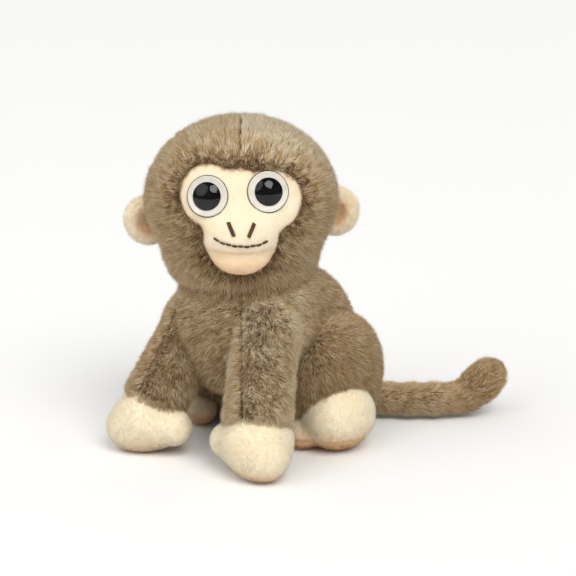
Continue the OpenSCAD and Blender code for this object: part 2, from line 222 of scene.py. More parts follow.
def shades(name, stops, count, rough):
    """The colours that single strands of a coat take, from dark to light."""
    out = []
    for i in range(count):
        t = i / (count - 1) * (len(stops) - 1)
        k = min(int(t), len(stops) - 2)
        colour = tuple(a + (b - a) * (t - k) for a, b in zip(stops[k], stops[k + 1]))
        out.append(plain(f"{name}_{i}", colour, rough, Specular_IOR_Level=0.2))
    return out


# ---------------------------------------------------------------- forms as distance fields


def ball(c, r):
    """A ball, or an ellipsoid where r has three values."""
    c, r = np.array(c, float), np.array(r, float) * np.ones(3)

    def f(p):
        q = p - c
        a = np.linalg.norm(q / r, axis=1)
        return a * (a - 1) / np.maximum(np.linalg.norm(q / r**2, axis=1), 1e-9)

    return f


def rod(a, b, ra, rb):
    """A round-ended rod from a to b, whose radius goes from ra to rb."""
    a, b = np.array(a, float), np.array(b, float)

    def f(p):
        d = b - a
        t = np.clip((p - a) @ d / (d @ d), 0, 1)
        return np.linalg.norm(p - a - t[:, None] * d, axis=1) - (ra + (rb - ra) * t)

    return f


def drum(c, rx, ry, half, edge):
    """An upright drum, half as high each way, with a rounded edge."""
    c = np.array(c, float)

    def f(p):
        q = p - c
        side = (np.hypot(q[:, 0] / rx, q[:, 1] / ry) - 1) * min(rx, ry)
        return soft_max(side, np.abs(q[:, 2]) - half, edge)

    return f


def soft_max(a, b, k):
    """The larger of a and b, rounded off over k where they are close."""
    h = np.clip(0.5 - 0.5 * (a - b) / k, 0, 1)
    return a * (1 - h) + b * h + k * h * (1 - h)


def join(k, *parts):
    """All the forms together, blended over k."""
    def f(p):
        out = parts[0](p)
        for part in parts[1:]:
            out = -soft_max(-out, -part(p), k)
        return out

    return f


def meet(k, a, b):
    """Where both forms are."""
    return lambda p: soft_max(a(p), b(p), k)


def carve(k, a, b):
    """The first form without the second."""
    return lambda p: soft_max(a(p), -b(p), k)


def grown(f, by):
    return lambda p: f(p) - by


def grooved(f, depth, width, distance):
    """A form with a sewn line pressed into it where distance(p) is 0."""
    return lambda p: f(p) + depth * np.exp(-((distance(p) / width) ** 2))


CELLS = 32
LATTICE = np.random.default_rng(11).uniform(-1, 1, (CELLS, CELLS, CELLS, 3))


def drift(p, scale, shift=0.0):
    """Smooth vector noise, about as large as 1, that changes over scale millimetres."""
    q = p / scale + shift
    i = np.floor(q).astype(int)
    f = q - i
    f = f * f * (3 - 2 * f)
    out = np.zeros((len(p), 3))
    for dx in (0, 1):
        for dy in (0, 1):
            for dz in (0, 1):
                w = (
                    (f[:, 0] if dx else 1 - f[:, 0])
                    * (f[:, 1] if dy else 1 - f[:, 1])
                    * (f[:, 2] if dz else 1 - f[:, 2])
                )
                out += w[:, None] * LATTICE[
                    (i[:, 0] + dx) % CELLS, (i[:, 1] + dy) % CELLS, (i[:, 2] + dz) % CELLS
                ]
    return out


def surface(field, lo, hi, step):
    """The closed surface where field is 0, as (vertices, quads), by surface nets."""
    lo, hi = np.array(lo, float), np.array(hi, float)
    n = np.ceil((hi - lo) / step).astype(int) + 1
    axes = [lo[k] + step * np.arange(n[k]) for k in range(3)]
    grid = np.stack(np.meshgrid(*axes, indexing="ij"), -1)
    value = field(grid.reshape(-1, 3)).reshape(n)
    inside = value < 0
    total, count = np.zeros((*(n - 1), 3)), np.zeros(n - 1)
    edges = []
    for k in range(3):
        lower = [slice(None)] * 3
        upper = [slice(None)] * 3
        lower[k], upper[k] = slice(None, -1), slice(1, None)
        a, b = value[tuple(lower)], value[tuple(upper)]
        crosses = inside[tuple(lower)] != inside[tuple(upper)]
        t = np.where(crosses, a / np.where(crosses, a - b, 1), 0)
        place = grid[tuple(lower)].copy()
        place[..., k] += t * step
        place *= crosses[..., None]
        u, v = [x for x in range(3) if x != k]
        for du in (0, 1):
            for dv in (0, 1):
                part = [slice(None)] * 3
                part[u] = slice(du, du + n[u] - 1)
                part[v] = slice(dv, dv + n[v] - 1)
                total += place[tuple(part)]
                count += crosses[tuple(part)]
        edges.append((k, u, v, crosses, inside[tuple(lower)]))
    used = count > 0
    number = np.full(n - 1, -1)
    number[used] = np.arange(used.sum())
    verts = total[used] / count[used][:, None]
    quads = []
    for k, u, v, crosses, starts_in in edges:
        at = np.argwhere(crosses)
        in_u = (at[:, u] > 0) & (at[:, u] < n[u] - 1)
        in_v = (at[:, v] > 0) & (at[:, v] < n[v] - 1)
        at = at[in_u & in_v]
        corner = []
        for du, dv in ((1, 1), (0, 1), (0, 0), (1, 0)):
            c = at.copy()
            c[:, u] -= du
            c[:, v] -= dv
            corner.append(number[c[:, 0], c[:, 1], c[:, 2]])
        q = np.stack(corner, 1)
        flip = starts_in[at[:, 0], at[:, 1], at[:, 2]] == (k == 1)
        q[flip] = q[flip][:, ::-1]
        quads.append(q)
    quads = np.concatenate(quads)
    # A few Newton steps put the vertices on the form itself
    for _ in range(3):
        g = slope(field, verts)
        by = field(verts) / np.maximum((g * g).sum(1), 1e-6)
        verts = verts - g * np.clip(by, -step, step)[:, None]
    return verts, quads


def slope(field, p, h=0.05):
    """The field's gradient at each place."""
    out = np.empty_like(p)
    for k in range(3):
        d = np.zeros(3)
        d[k] = h
        out[:, k] = (field(p + d) - field(p - d)) / (2 * h)
    return out


def unit(v):
    return v / np.maximum(np.linalg.norm(v, axis=1), 1e-9)[:, None]


# ---------------------------------------------------------------- meshes


def mesh_object(name, verts, faces, material):
    """A smooth mesh object from millimetres; every face has as many corners as the others."""
    me = bpy.data.meshes.new(name)
    verts, faces = np.asarray(verts, np.float32), np.asarray(faces, np.int32)
    corners = faces.shape[1]
    me.vertices.add(len(verts))
    me.vertices.foreach_set("co", (verts * MM).ravel())
    me.loops.add(faces.size)
    me.loops.foreach_set("vertex_index", faces.ravel())
    me.polygons.add(len(faces))
    me.polygons.foreach_set("loop_start", np.arange(0, faces.size, corners, dtype=np.int32))
    me.polygons.foreach_set("use_smooth", np.full(len(faces), True))
    me.update(calc_edges=True)
    o = bpy.data.objects.new(name, me)
    scene.collection.objects.link(o)
    for m in material if isinstance(material, list) else [material]:
        me.materials.append(m)
    return o


def skin_of(o):
    """A mesh object's (vertices, normals, triangles), in millimetres."""
    me = o.data
    v = np.empty(len(me.vertices) * 3, np.float32)
    me.vertices.foreach_get("co", v)
    nrm = np.empty(len(me.vertices) * 3, np.float32)
    me.vertices.foreach_get("normal", nrm)
    me.calc_loop_triangles()
    t = np.empty(len(me.loop_triangles) * 3, np.int32)
    me.loop_triangles.foreach_get("vertices", t)
    places = v.reshape(-1, 3).astype(float) / MM
    return places, unit(nrm.reshape(-1, 3).astype(float)), t.reshape(-1, 3)


def peach_and_shade(o, amount):
    """Marks how far each vertex goes towards the hollow's colour, as peach cloth and as painted
    shade.
    """
    v, n, _ = skin_of(o)
    mark = o.data.attributes.new("peach_and_shade", "FLOAT", "POINT")
    mark.data.foreach_set("value", np.clip(amount(v, n), 0, 1).astype(np.float32))


SWELL_FRAMES, SWELL_PRESSURE, SWELL_QUALITY = 20, 4, 4


def swell(o, cap):
    """Blows the stuffed form up as cloth, moving no point further than cap millimetres."""
    v = skin_of(o)[0]
    cloth_mod = o.modifiers.new("Cloth", "CLOTH")
    s = cloth_mod.settings
    s.quality = SWELL_QUALITY
    s.use_pressure = True
    s.uniform_pressure_force = SWELL_PRESSURE
    s.effector_weights.gravity = 0
    for frame_no in range(1, SWELL_FRAMES + 1):
        scene.frame_set(frame_no)
    moved = o.evaluated_get(bpy.context.evaluated_depsgraph_get()).to_mesh()
    w = np.empty(len(moved.vertices) * 3, np.float32)
    moved.vertices.foreach_get("co", w)
    d = w.reshape(-1, 3) / MM - v
    far = np.linalg.norm(d, axis=1)
    d *= np.minimum(1, cap / np.maximum(far, 1e-9))[:, None]
    o.modifiers.remove(cloth_mod)
    scene.frame_set(1)
    v = v + d
    v[:, 2] = np.maximum(v[:, 2], GROUND)
    o.data.vertices.foreach_set("co", (v * MM).astype(np.float32).ravel())
    o.data.update()


# How deep a strand is rooted, and the least its tip rises from the skin for its length
ROOT_DEPTH, LEAST_RISE = 0.35, 0.18


def coat(
    name, o, per_mm2, length, flow, palette, shade, body, seed,
    keep=None, width=0.32, wild=0.2, clump=0.3,
):
    """Pile on a skin: closed tapered strands, rooted just under it.
    length(p) is in millimetres, flow(p, n) gives the way the tips lie and how far they stand up
    in degrees, shade(p) runs from 0 to 1 over the palette, and keep(p) says where strands grow."""
    rng = np.random.default_rng(seed)
    v, n, t = skin_of(o)
    a, b, c = v[t[:, 0]], v[t[:, 1]], v[t[:, 2]]
    size = np.linalg.norm(np.cross(b - a, c - a), axis=1) / 2
    total = size.sum()
    count = int(total * per_mm2)
    pick = np.searchsorted(np.cumsum(size) / total, rng.random(count))
    pick = np.minimum(pick, len(t) - 1)
    r1, r2 = rng.random(count), rng.random(count)
    over = r1 + r2 > 1
    r1[over], r2[over] = 1 - r1[over], 1 - r2[over]
    w = np.stack([1 - r1 - r2, r1, r2], 1)
    p = (v[t[pick]] * w[:, :, None]).sum(1)
    normal = unit((n[t[pick]] * w[:, :, None]).sum(1))
    if keep is not None:
        stays = keep(p)
        p, normal = p[stays], normal[stays]
    count = len(p)
    # The way and lift drift slowly over the skin, and neighbours gather in tufts
    way, lift = flow(p, normal)
    way = way - normal * (way * normal).sum(1)[:, None]
    way = unit(way + drift(p, 11, 3.7) * 0.22)
    way = unit(way - normal * (way * normal).sum(1)[:, None])
    lift = np.radians(lift + 6 * drift(p, 13, 1.3)[:, 0])
    ahead = normal * np.sin(lift)[:, None] + way * np.cos(lift)[:, None]
    upright = np.clip(np.sin(lift), 0, 1)
    tuft = drift(p, 2.1, 9.1) * (0.25 + 1.1 * upright**1.5)[:, None]
    ahead = ahead + tuft * clump + rng.normal(0, wild, (count, 3))
    rise = (ahead * normal).sum(1)
    ahead += normal * np.maximum(LEAST_RISE - rise, 0)[:, None]
    ahead = unit(ahead)
    rank = rng.uniform(0, 1, count)
    long = length(p) * (0.72 + 0.33 * rank)
    tip = p + ahead * long[:, None]
    side = unit(np.cross(ahead, rng.normal(0, 1, (count, 3))))
    other = np.cross(ahead, side)
    thick = width * rng.uniform(0.75, 1.2, count)[:, None] / 2
    root = p - normal * ROOT_DEPTH
    verts = np.empty((count, 4, 3))
    for k in range(3):
        turn = 2 * math.pi * k / 3
        verts[:, k] = root + (side * math.cos(turn) + other * math.sin(turn)) * thick
    verts[:, 3] = tip
    verts[:, :, 2] = np.maximum(verts[:, :, 2], GROUND)
    base = np.arange(count)[:, None] * 4
    faces = np.stack([base + f for f in ((0, 1, 3), (1, 2, 3), (2, 0, 3), (2, 1, 0))], 1)
    out = mesh_object(name, verts.reshape(-1, 3), faces.reshape(-1, 3), list(palette))
    # Painted shade: shorter strands, deeper in the pile, are darker; the tone also drifts with the
    # tufts and at random
    tone = shade(p) + 0.26 * (rank - 0.5) + 0.26 * tuft[:, 1] + rng.normal(0, 0.11, count)
    slots = np.clip((tone * len(palette)).astype(int), 0, len(palette) - 1)
    out.data.polygons.foreach_set("material_index", np.repeat(slots, 4).astype(np.int32))
    out.data.update()
    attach(out, body)
    return out


def same(value):
    """A quantity that is the same at every place."""
    return lambda p: np.full(len(p), value)


def stuffed(name, field, lo, hi, step, material, body, replaced, cap=0.0):
    """A stuffed piece that stands for CAD nodes; lo to hi holds it, and it swells by up to cap."""
    v, q = surface(field, lo, hi, step)
    o = mesh_object(name, v, q, material)
    if cap:
        swell(o, cap)
    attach(o, body)
    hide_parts(*replaced)
    return o


# ---------------------------------------------------------------- the monkey's measurements

HEAD_YAW = math.radians(35)
HEAD_C = np.array((0, -38.5, 144.5))
YAW = np.array([
    [math.cos(HEAD_YAW), -math.sin(HEAD_YAW), 0],
    [math.sin(HEAD_YAW), math.cos(HEAD_YAW), 0],
    [0, 0, 1],
])
SHOULDER = np.array((26.0, -52, 74))
CUFF = np.array((36.0, -75.5, 31))
SIDES = {"left": 1, "right": -1}


def to_head(p):
    return (p - HEAD_C) @ YAW


def from_head(p):
    return np.asarray(p) @ YAW.T + HEAD_C


def in_head(f):
    return lambda p: f(to_head(p))


def sided(f, side):
    """The form on the right side of the body is the left one's mirror image."""
    return lambda p: f(p * np.array((side, 1, 1)))


def sided_box(lo, hi, side):
    lo, hi = np.array(lo, float), np.array(hi, float)
    if side < 0:
        lo[0], hi[0] = -hi[0], -lo[0]
    return lo, hi


# Head, in its own frame
skull = join(10, ball((0, 0, 0), (52.5, 46, 45.5)), drum((0, 2, -35), 41.5, 37, 13, 14))


def flat_ball(x, z, rx, rz):
    """An ellipse in the head's front view, whatever the depth."""
    return lambda p: (np.hypot((p[:, 0] - x) / rx, (p[:, 2] - z) / rz) - 1) * min(rx, rz)


face_outline = join(
    5,
    flat_ball(-16.5, 9.6, 16.8, 17.0),
    flat_ball(17.0, 6.6, 16.8, 16.6),
    flat_ball(0, 5, 19, 19.4),
    flat_ball(0, -14, 20.2, 19),
)
# The muzzle, with the crease where the chin cloth starts
CREASE_Z, CREASE_WIDTH = -19.8, 1.3
muzzle = grooved(
    join(2.0, ball((0, -37, -11.5), (20.5, 16.8, 17)), ball((0, -36.5, -26), (16.5, 14.5, 9.5))),
    0.8, CREASE_WIDTH, lambda p: p[:, 2] - CREASE_Z - 0.004 * p[:, 0] ** 2,
)
# Each eye's place in the head's front view, and how far it turns outwards in degrees
EYES = {"left": (15.0, 12.5, 13.0), "right": (-17.8, 10.1, -13.0)}
# How far both look up in degrees, and the clear dome's radius and height
EYE_LIFT = 13.0
EYE_R, EYE_H = 11.0, 6.0


def eye_frame(toe):
    """The directions to the eye's side, its top and out of it."""
    t, u = math.radians(toe), math.radians(EYE_LIFT)
    out = np.array((math.sin(t) * math.cos(u), -math.cos(t) * math.cos(u), math.sin(u)))
    right = np.array((math.cos(t), math.sin(t), 0))
    return right, np.cross(out, right), out


def eye_centre(x, z):
    """Where the eye's flat back sits, in the head's own frame."""
    ahead = math.sqrt(max(0, 1 - (x / 53) ** 2 - (z / 46) ** 2))
    return np.array((x, -47.0 * ahead, z))


def socket(grow, depth):
    """Room behind both eyes' flat backs."""
    def f(p):
        best = None
        for x, z, toe in EYES.values():
            right, up, out = eye_frame(toe)
            q = p - eye_centre(x, z)
            across = np.hypot(q @ right, q @ up) - EYE_R - grow
            d = soft_max(across, -(q @ out) - depth, 0.8)
            best = d if best is None else np.minimum(best, d)
        return best

    return f


face_front = join(7, grown(skull, 0.5), muzzle)
face_front = carve(0.8, face_front, socket(0.7, 0.8))


face_field = meet(2.0, meet(2.0, face_front, face_outline), lambda p: p[:, 1] + 12)


def face_y(x, z):
    """How far forward the face stands at a place in its front view."""
    near, far = -70.0, -20.0
    for _ in range(40):
        mid = (near + far) / 2
        if face_front(np.array([[x, mid, z]]))[0] > 0:
            near = mid
        else:
            far = mid
    return mid


# A distance that means nowhere near a seam
FAR = 50.0
# The way across the chest to the monkey's left, square to the line that the photograph looks along
ACROSS_CHEST = np.array((0.829, 0.559, 0))
SEAM_START = 19.9


def past_chest_seam(p):
    """Signed distance from the seam that runs down from the chin, positive to the monkey's left."""
    return p[:, 0] * ACROSS_CHEST[0] + p[:, 1] * ACROSS_CHEST[1] + SEAM_START


def chest_seam(p):
    return np.where(p[:, 1] < -30, past_chest_seam(p), FAR)


# Trunk, with broad shoulders under the head and a round back
trunk = join(
    12,
    rod((0, 0, 42), (0, -29, 68), 38.5, 38.5),
    ball((0, 2, 62), (42, 37, 36)),
    ball((-5, -48, 66), (24, 20.5, 29)),
    drum((1.5, -36, 82), 37, 34.5, 15.5, 14),
)


def arm_form(r, shoulder):
    """A sleeve from the shoulder to the cuff."""
    return join(5, ball(shoulder, r + 0.5), rod(shoulder, CUFF, r, r + 0.8))


ARMS = {"left": arm_form(17.0, SHOULDER), "right": arm_form(16.2, SHOULDER + (0, 3, -2))}
haunch = ball((39.5, -2.5, 38.5), (23.5, 35, 35.5))
hand = join(
    5,
    ball((39, -79.5, 18.2), (19.5, 19.5, 17.6)),
    ball((46, -86, 13.5), (15, 12.5, 12.5)),
    rod((36, -75.5, 30.5), (38, -78, 22), 13.5, 16.5),
    rod((32, -80.5, 18), (20, -80.5, 16.5), 12.5, 9.6),
)
foot = join(5, ball((52, -17, 19.8), (20, 22.5, 19.2)), ball((37, -30, 9.4), (9, 9.5, 8.2)))


def above(z):
    return lambda p: z - p[:, 2]


# The tail's line is an arc: where it starts, its radius, its first direction and its sweep
TAIL_ROOT, TAIL_R = np.array((8.0, 35.5, 11.8)), 110.0
TAIL_START, TAIL_SWEEP = 2.0, 43.0
TAIL_RADII = (8.6, 8.0, 7.7, 7.6, 7.7, 7.9, 8.0)
# The tip, as how far along, how high and how thick
TIP_STEPS = ((0, 0, 8.0), (8, 1.8, 8.2), (15.5, 7.5, 9.4), (20.5, 12.5, 9.6))


def tail_at(turn):
    """A place on the arc, by its direction in degrees."""
    t, s = math.radians(turn), math.radians(TAIL_START)
    return TAIL_ROOT + TAIL_R * np.array((math.sin(t) - math.sin(s), math.cos(s) - math.cos(t), 0))


def chain(points, radii):
    """Rods end to end."""
    ends = list(zip(points, radii))
    return join(4, *[rod(a, b, ra, rb) for (a, ra), (b, rb) in zip(ends, ends[1:])])


TIP_C = tail_at(TAIL_START + TAIL_SWEEP)
TIP_AHEAD = np.array((math.cos(math.radians(45)), math.sin(math.radians(45)), 0))
tail_form = chain(
    [tail_at(TAIL_START + TAIL_SWEEP * i / 6) for i in range(len(TAIL_RADII))], TAIL_RADII
)
tip_form = chain(
    [TIP_C + TIP_AHEAD * along + np.array((0, 0, up)) for along, up, _ in TIP_STEPS],
    [thick for _, _, thick in TIP_STEPS],
)

make_camera()

brown_skin = cloth("brown_backing", BROWN_DARK, BROWN_MID, 60, 0.5)
cream_skin = cloth("cream_velour", CREAM_LOW, CREAM_HIGH, 45, 0.35, hollow=PEACH)
# The lightest brown strands are paler and greyer, as painted sheen where the pile lies flat
brown_strands = shades(
    "brown_strand", (srgb(126, 95, 62), srgb(212, 181, 135), srgb(255, 245, 218)), 8, 0.75
)
cream_strands = shades("cream_strand", (srgb(240, 217, 178), srgb(252, 244, 222)), 5, 0.85)
peach_strands = shades("peach_strand", (srgb(216, 160, 110), srgb(240, 206, 162)), 4, 0.85)
make_stage()

# ---------------------------------------------------------------- head


def face_edge(q):
    """How far outside the face's outline a place is; nowhere near it on the back of the head."""
    return np.where(q[:, 1] < 0, face_outline(q), 60)


def head_flow(p, n):
    q = to_head(p)
    # The pile runs out from the face, then back and down over the rest of the head
    ahead = np.clip((12 - q[:, 1]) / 30, 0, 1)
    way = np.stack([q[:, 0] * ahead, 16 + 0 * ahead, (q[:, 2] + 4) * ahead - 20 * (1 - ahead)], 1)
    seam = np.abs(q[:, 0])
    top = (q[:, 2] > 0) | (q[:, 1] > 0)
    way[:, 0] += np.where(top, np.sign(q[:, 0]) * (2 + 8 * ahead) * np.exp(-seam / 2), 0)
    # Tips lean over the face at its edge, stand up beside it, and lie back further out
    lean = -38 + 104 * (1 - np.exp(-np.maximum(face_edge(q) + 0.5, 0) / 6.5))
    way *= np.sign(lean)[:, None]
    return way @ YAW.T, 90 - np.abs(lean)


def head_length(p):
    """The pile is shorter next to the face."""
    return 5.4 - 1.0 * np.exp(-np.maximum(face_edge(to_head(p)), 0) / 4)


def head_keep(side, front):
    """One side's front or back, off the face, with a thin gap at the seam over the top."""
    def f(p):
        q = to_head(p)
        ahead = q[:, 1] < 0
        bare = (face_outline(q) < -0.8) & ahead
        return ~bare & (ahead == front) & (q[:, 0] * side > np.where(ahead, 0.45, 0.2))

    return f


def head_shade(side):
    """Painted light and shade: lighter towards the top, most of all on the left side, where light and
    sheen fall, and darker next to the face as painted shade in the gaps of the upright pile.
    """
    def f(p):
        q = to_head(p)
        high = np.clip((q[:, 2] - 5) / 45, 0, 1)
        dark = 0.22 * np.exp(-np.maximum(face_edge(q), 0) / 7)
        return 0.52 + 0.16 * (side > 0) * high**0.5 + 0.16 * high - dark

    return f


def top_seam(p):
    """Distance from the seam over the top and down the back of the head."""
    return np.where((p[:, 2] > 0) | (p[:, 1] > 10), p[:, 0], FAR)


head_field = in_head(carve(0.8, grooved(skull, 1.2, 1.1, top_seam), socket(1.0, 2.6)))
head_skin = stuffed(
    "head_skin", head_field, (-62, -100, 84), (62, 22, 196), 2.0, brown_skin, "head",
    ["head_panel_left", "head_panel_right", "head_stuffing"], cap=1.2,
)
for side_name, side in SIDES.items():
    for end_name, front in (("front", True), ("back", False)):
        coat(
            f"head_{end_name}_{side_name}_fur", head_skin, 4.1, head_length, head_flow, brown_strands,
            head_shade(side), "head", 21 + side + 4 * front, keep=head_keep(side, front),
            width=0.3, clump=0.45,
        )

face = stuffed(
    "face", in_head(face_field), (-55, -100, 100), (55, 5, 185), 1.1, cream_skin, "head",
    ["face_panel", "chin_panel"],
)


def face_peach_and_shade(p, n=None):
    """Peach on the chin, deepening downwards as partly its own tint and partly painted shade under
    the chin; painted shade in peach in the crease above it and round the rim.
    """
    q = to_head(p)
    low = np.clip((-18.5 - q[:, 2]) / 8, 0, 1) * 0.5
    crease = 0.4 * np.exp(-(((q[:, 2] - CREASE_Z) / CREASE_WIDTH) ** 2))
    rim = 0.3 * np.exp(np.minimum(face_outline(q), 0) / 2.0)
    return low + crease + rim


peach_and_shade(face, face_peach_and_shade)


def outward(p, n):
    """Velour stands up, a little combed down."""
    return n + np.array((0, 0, -0.6)), np.full(len(p), 62.0)


def velour(name, o, body, seed, peach, per_mm2=6.0, keep=None, long=1.25):
    """Short pile on a cream piece, peach where the piece is marked peach, for its peach cloth and for
    painted shade.
    """
    def shade(p):
        return 1.02 - 0.95 * np.clip(peach(p), 0, 1)

    return coat(
        name, o, per_mm2, same(long), outward, peach_strands + cream_strands, shade,
        body, seed, keep=keep, width=0.2, wild=0.45,
    )


velour(
    "face_pile", face, "head", 31, face_peach_and_shade, long=0.9,
    keep=lambda p: (to_head(p)[:, 1] < -30) & (face_outline(to_head(p)) < 1),
)

# ---------------------------------------------------------------- eyes, nostrils and mouth


def lathe(name, profile, seat, material, body, turns=64):
    """A closed form turned about its own Z axis; profile runs from the axis, round and back to it."""
    r, z = np.array([a for a, _ in profile]), np.array([b for _, b in profile])
    angle = 2 * math.pi * np.arange(turns) / turns
    v = np.stack([
        np.outer(np.cos(angle), r), np.outer(np.sin(angle), r), np.outer(np.ones(turns), z)
    ], -1).reshape(-1, 3)
    m = len(profile)
    faces = []
    for i in range(turns):
        j = (i + 1) % turns
        for k in range(m - 1):
            faces.append((i * m + k, j * m + k, j * m + k + 1, i * m + k + 1))
    o = mesh_object(name, seat(v), faces, material)
    bm = bmesh.new()
    bm.from_mesh(o.data)
    bmesh.ops.remove_doubles(bm, verts=bm.verts, dist=1e-6)
    bmesh.ops.recalc_face_normals(bm, faces=bm.faces)
    bm.to_mesh(o.data)
    bm.free()
    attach(o, body)
    return o


glass = plain(
    "clear_dome", (0.97, 0.98, 1.0), 0.02, Transmission_Weight=1.0, IOR=1.45, Specular_IOR_Level=0.3
)
silver = cloth(
    "silver_ring", (0.8, 0.75, 0.66), (0.9, 0.85, 0.75), 260, 0.05, rough=0.45, sheen=0.0
)
black = cloth("pupil_black", [0.003] * 3, [0.006] * 3, 200, 0.05, rough=0.5, sheen=0.0)
black.node_tree.nodes["Principled BSDF"].inputs["Specular IOR Level"].default_value = 0.0
# A dark ring round the dome's edge, partly the eye's dark edge and partly painted shadow where the
# dome meets the face
rim_black = cloth("eye_rim_dark", [0.02] * 3, [0.05] * 3, 200, 0.1, rough=0.35, sheen=0.0)


def eye_seat(x, z, toe):
    """Puts an eye's piece, turned about its own Z axis, in its place."""
    axes = np.stack(eye_frame(toe))
    return lambda v: from_head(eye_centre(x, z) + v @ axes)


def dome_profile():
    """A shallow cap of clear plastic on a short edge."""
    big = (EYE_R**2 + EYE_H**2) / (2 * EYE_H)
    arc = [
        (big * math.sin(a), EYE_H - big + big * math.cos(a))
        for a in np.linspace(0, math.asin(EYE_R / big), 24)
    ]
    return arc + [(EYE_R + 0.15, 0.0), (EYE_R + 0.15, -0.5), (EYE_R - 0.3, -0.9), (0, -0.9)]


# The eye's other profiles, as (radius, height)
RING_PROFILE = (
    (0, -0.5), (6.7, -0.5), (8.4, -0.35), (10.2, 0.25), (10.8, 0.3), (11.0, -0.1), (10.9, -0.8),
    (0, -0.8),
)
PUPIL_PROFILE = ((0, 0.25), (6.4, 0.2), (6.8, 0.1), (6.8, -0.45), (0, -0.45))
RIM_PROFILE = (
    (EYE_R - 1.0, -0.95), (EYE_R - 1.0, -1.7), (EYE_R + 0.45, -1.5), (EYE_R + 0.5, -0.55),
    (EYE_R + 0.2, -0.55),
)

for side_name, (x, z, toe) in EYES.items():
    seat = eye_seat(x, z, toe)
    for part, profile, material, slot_name, node in (
        ("clear", dome_profile(), glass, "clear_dome", "dome"),
        ("ring", RING_PROFILE, silver, "silver_disc", "disc"),
        ("black", PUPIL_PROFILE, black, "black_plastic", "pupil"),
        ("edge", RIM_PROFILE, rim_black, "black_plastic", None),
    ):
        piece = lathe(f"eye_{part}_{side_name}", profile, seat, material, "head")
        if node:
            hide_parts(f"eye_{node}_{side_name}")
        # The ring and pupil inside stay bright only if the dome casts no shadow on them
        piece.visible_shadow = part != "clear"


def thread(name, paths, radius, material, replaced):
    """Stitches: one closed tube of thread, thinner at its ends, per path over the face."""
    verts, faces, ring = [], [], 8
    for path in paths:
        pts = np.array(path)
        start = len(verts)
        n = len(pts)
        for i, p in enumerate(pts):
            ahead = unit((pts[min(i + 1, n - 1)] - pts[max(i - 1, 0)])[None])[0]
            side = unit(np.cross(ahead, (0, 1, 0))[None])[0]
            up = np.cross(side, ahead)
            end = min(i, n - 1 - i) / max(1, (n - 1) / 4)
            r = radius * math.sqrt(min(1, 0.12 + end))
            for k in range(ring):
                a = 2 * math.pi * k / ring
                verts.append(p + (side * math.cos(a) + up * math.sin(a)) * r)
        for i in range(n - 1):
            for k in range(ring):
                a, b = start + i * ring + k, start + i * ring + (k + 1) % ring
                faces.append((a, b, b + ring, a + ring))
        for i, order in ((0, 1), (n - 1, -1)):
            c = [start + i * ring + k for k in range(ring)][::order]
            faces += [(c[0], c[3], c[2], c[1]), (c[0], c[5], c[4], c[3]), (c[0], c[7], c[6], c[5])]
    o = mesh_object(name, from_head(np.array(verts)), faces, material)
    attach(o, "head")
    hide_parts(*replaced)
    return o


floss = cloth("brown_floss", srgb(62, 32, 20), srgb(100, 58, 40), 300, 0.4, rough=0.6, sheen=0.0)


def lifted(x, z, h):
    """A place h millimetres out from the face."""
    return (x, face_y(x, z) - h, z)


# Each nostril is a bar of short stitches side by side, from its top to its bottom on the face
NOSTRILS = {"right": ((-6.4, -2.6), (-3.6, -9.2)), "left": ((7.4, -3.2), (4.5, -9.8))}
NOSTRIL_STITCHES, NOSTRIL_HALF, NOSTRIL_SLANT = 13, 1.1, 0.25

for side_name, (top, bottom) in NOSTRILS.items():
    paths = []
    top, bottom = np.array(top), np.array(bottom)
    along = (bottom - top) / np.linalg.norm(bottom - top)
    across = np.array((-along[1], along[0]))
    for i in range(NOSTRIL_STITCHES):
        mid = top + (bottom - top) * i / (NOSTRIL_STITCHES - 1)
        paths.append([
            lifted(
                *(mid + across * s * NOSTRIL_HALF + along * s * NOSTRIL_SLANT),
                0.5 + 0.45 * math.cos(s * math.pi / 2),
            )
            for s in np.linspace(-1, 1, 7)
        ])
    thread(f"nostril_stitch_{side_name}", paths, 0.4, floss, [f"nostril_{side_name}"])


# The mouth is one row of stitches along a curve
MOUTH_STITCHES, MOUTH_LEFT, MOUTH_LENGTH = 9, -14.6, 29.4


def smile(x):
    """The mouth's height on the face."""
    t = x / 14.8
    return -15.2 - 0.95 * t + 2.05 * t**2 + 0.9 * t**4


mouth_paths = []
for i in range(MOUTH_STITCHES):
    x0, x1 = (MOUTH_LEFT + MOUTH_LENGTH * (i + d) / MOUTH_STITCHES for d in (0.03, 0.97))
    mouth_paths.append([
        lifted(x, smile(x) + 0.12 * (-1) ** i, 0.45 + 0.35 * math.sin(math.pi * s))
        for s, x in ((s, x0 + (x1 - x0) * s) for s in np.linspace(0, 1, 9))
    ])
thread("mouth_stitch", mouth_paths, 0.65, floss, ["mouth_stitches"])

# ---------------------------------------------------------------- ears

# Where an ear is sewn on in the head's own frame, how much higher the left one is than the middle,
# and how far both lean back
EAR_C, EAR_UP, EAR_LEAN = np.array((47.0, 12, -13)), 2.5, math.radians(8)


def ear_field(side):
    """The ear and the ball that hollows it."""
    cos, sin = math.cos(EAR_LEAN), math.sin(EAR_LEAN)

    def local(p):
        q = to_head(p) * np.array((side, 1, 1)) - EAR_C - np.array((0, 0, EAR_UP * side))
        return np.stack([q[:, 0] * cos + q[:, 1] * sin, -q[:, 0] * sin + q[:, 1] * cos, q[:, 2]], 1)

    blade = join(3, ball((7, 0.5, 0), (13.6, 4.6, 14.2)), ball((0, 0, 0), (5, 4.5, 9.5)))
    dent = ball((4.0, -5.4, -0.5), (8.8, 5.0, 8.6))
    f = carve(2.2, blade, dent)
    return lambda p: f(local(p)), lambda p: dent(local(p))


